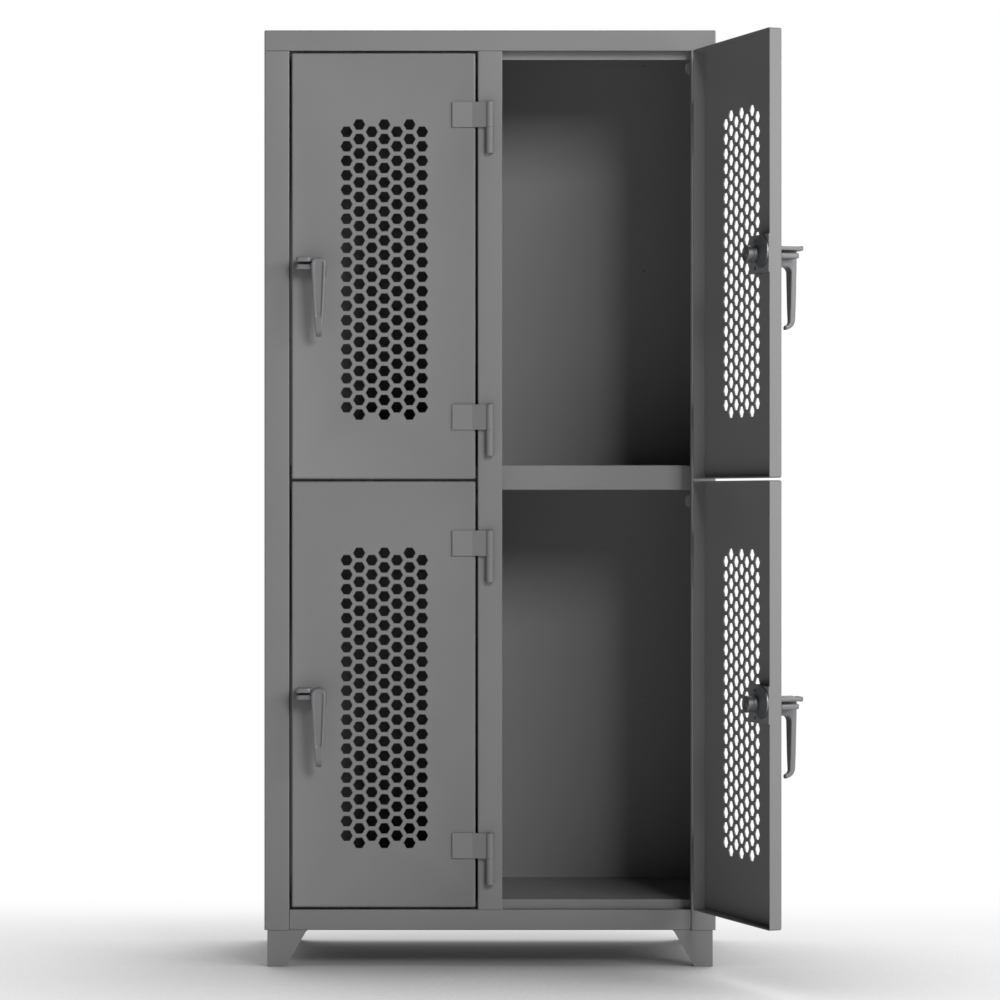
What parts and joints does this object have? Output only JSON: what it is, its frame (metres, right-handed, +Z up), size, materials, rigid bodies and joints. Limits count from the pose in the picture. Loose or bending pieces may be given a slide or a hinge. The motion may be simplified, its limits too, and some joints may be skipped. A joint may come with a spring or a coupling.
{
  "type": "locker cabinet",
  "caption": "Tall two-column, two-tier welded steel locker with perforated pan doors, strap hinges and hasp lever handles, on folded legs.",
  "frame": {"origin": "middle of the cabinet's footprint on the floor", "axes": "+X to the right seen from the front, +Y from front to back, +Z up"},
  "size_m": [1.0614, 0.8577, 1.897],
  "materials": {
    "powder_coat": "satin powder coat",
    "powder_coat_inside": "satin powder coat",
    "handle_paint": "satin painted casting",
    "zinc_plate": "zinc plated"
  },
  "bodies": {
    "cabinet": {"top_cap": "powder_coat", "bottom_rail": "powder_coat", "left_stile": "powder_coat", "right_stile": "powder_coat", "center_post": "powder_coat", "left_side_panel": "powder_coat", "right_side_panel": "powder_coat", "back_panel": "powder_coat_inside", "center_partition": "powder_coat_inside", "left_floor": "powder_coat_inside", "right_floor": "powder_coat_inside", "left_shelf": "powder_coat_inside", "right_shelf": "powder_coat_inside", "left_header_stop": "powder_coat", "right_header_stop": "powder_coat", "stop_tabs": "powder_coat", "front_left_leg": "powder_coat", "front_right_leg": "powder_coat", "back_right_leg": "powder_coat", "back_left_leg": "powder_coat", "frame_knuckles": "powder_coat", "hinge_pins": "zinc_plate"},
    "upper_left_door": {"upper_left_door_panel": "powder_coat", "upper_left_hinge_straps": "powder_coat", "upper_left_hasp_plate": "powder_coat", "upper_left_latch_housing": "powder_coat_inside", "upper_left_handle_bush": "zinc_plate"},
    "upper_left_handle": {"upper_left_lever_handle": "handle_paint", "upper_left_spindle": "zinc_plate", "upper_left_latch_cam": "zinc_plate", "upper_left_cam_hub": "zinc_plate"},
    "lower_left_door": {"lower_left_door_panel": "powder_coat", "lower_left_hinge_straps": "powder_coat", "lower_left_hasp_plate": "powder_coat", "lower_left_latch_housing": "powder_coat_inside", "lower_left_handle_bush": "zinc_plate"},
    "lower_left_handle": {"lower_left_lever_handle": "handle_paint", "lower_left_spindle": "zinc_plate", "lower_left_latch_cam": "zinc_plate", "lower_left_cam_hub": "zinc_plate"},
    "upper_right_door": {"upper_right_door_panel": "powder_coat", "upper_right_hinge_straps": "powder_coat", "upper_right_hasp_plate": "powder_coat", "upper_right_latch_housing": "powder_coat_inside", "upper_right_handle_bush": "zinc_plate"},
    "upper_right_handle": {"upper_right_lever_handle": "handle_paint", "upper_right_spindle": "zinc_plate", "upper_right_latch_cam": "zinc_plate", "upper_right_cam_hub": "zinc_plate"},
    "lower_right_door": {"lower_right_door_panel": "powder_coat", "lower_right_hinge_straps": "powder_coat", "lower_right_hasp_plate": "powder_coat", "lower_right_latch_housing": "powder_coat_inside", "lower_right_handle_bush": "zinc_plate"},
    "lower_right_handle": {"lower_right_lever_handle": "handle_paint", "lower_right_spindle": "zinc_plate", "lower_right_latch_cam": "zinc_plate", "lower_right_cam_hub": "zinc_plate"}
  },
  "joints": [
    {"name": "upper_left_hinge", "type": "hinge", "parent": "cabinet", "child": "upper_left_door", "pos_m": [0, -0.2371, 1.41938], "axis": [0, 0, 1], "range_deg": [0, 135]},
    {"name": "upper_left_handle_turn", "type": "hinge", "parent": "upper_left_door", "child": "upper_left_handle", "pos_m": [-0.345, -0.2286, 1.41938], "axis": [0, -1, 0], "range_deg": [0, 90]},
    {"name": "lower_left_hinge", "type": "hinge", "parent": "cabinet", "child": "lower_left_door", "pos_m": [0, -0.2371, 0.55163], "axis": [0, 0, 1], "range_deg": [0, 135]},
    {"name": "lower_left_handle_turn", "type": "hinge", "parent": "lower_left_door", "child": "lower_left_handle", "pos_m": [-0.345, -0.2286, 0.55163], "axis": [0, -1, 0], "range_deg": [0, 90]},
    {"name": "upper_right_hinge", "type": "hinge", "parent": "cabinet", "child": "upper_right_door", "pos_m": [0.4316, -0.2371, 1.41938], "axis": [0, 0, 1], "range_deg": [-110, 70]},
    {"name": "upper_right_handle_turn", "type": "hinge", "parent": "upper_right_door", "child": "upper_right_handle", "pos_m": [0.54161, -0.5642, 1.41938], "axis": [0.9397, 0.342, 0], "range_deg": [0, 90]},
    {"name": "lower_right_hinge", "type": "hinge", "parent": "cabinet", "child": "lower_right_door", "pos_m": [0.4316, -0.2371, 0.55163], "axis": [0, 0, 1], "range_deg": [-110, 70]},
    {"name": "lower_right_handle_turn", "type": "hinge", "parent": "lower_right_door", "child": "lower_right_handle", "pos_m": [0.54161, -0.5642, 0.55163], "axis": [0.9397, 0.342, 0], "range_deg": [0, 90]}
  ]
}
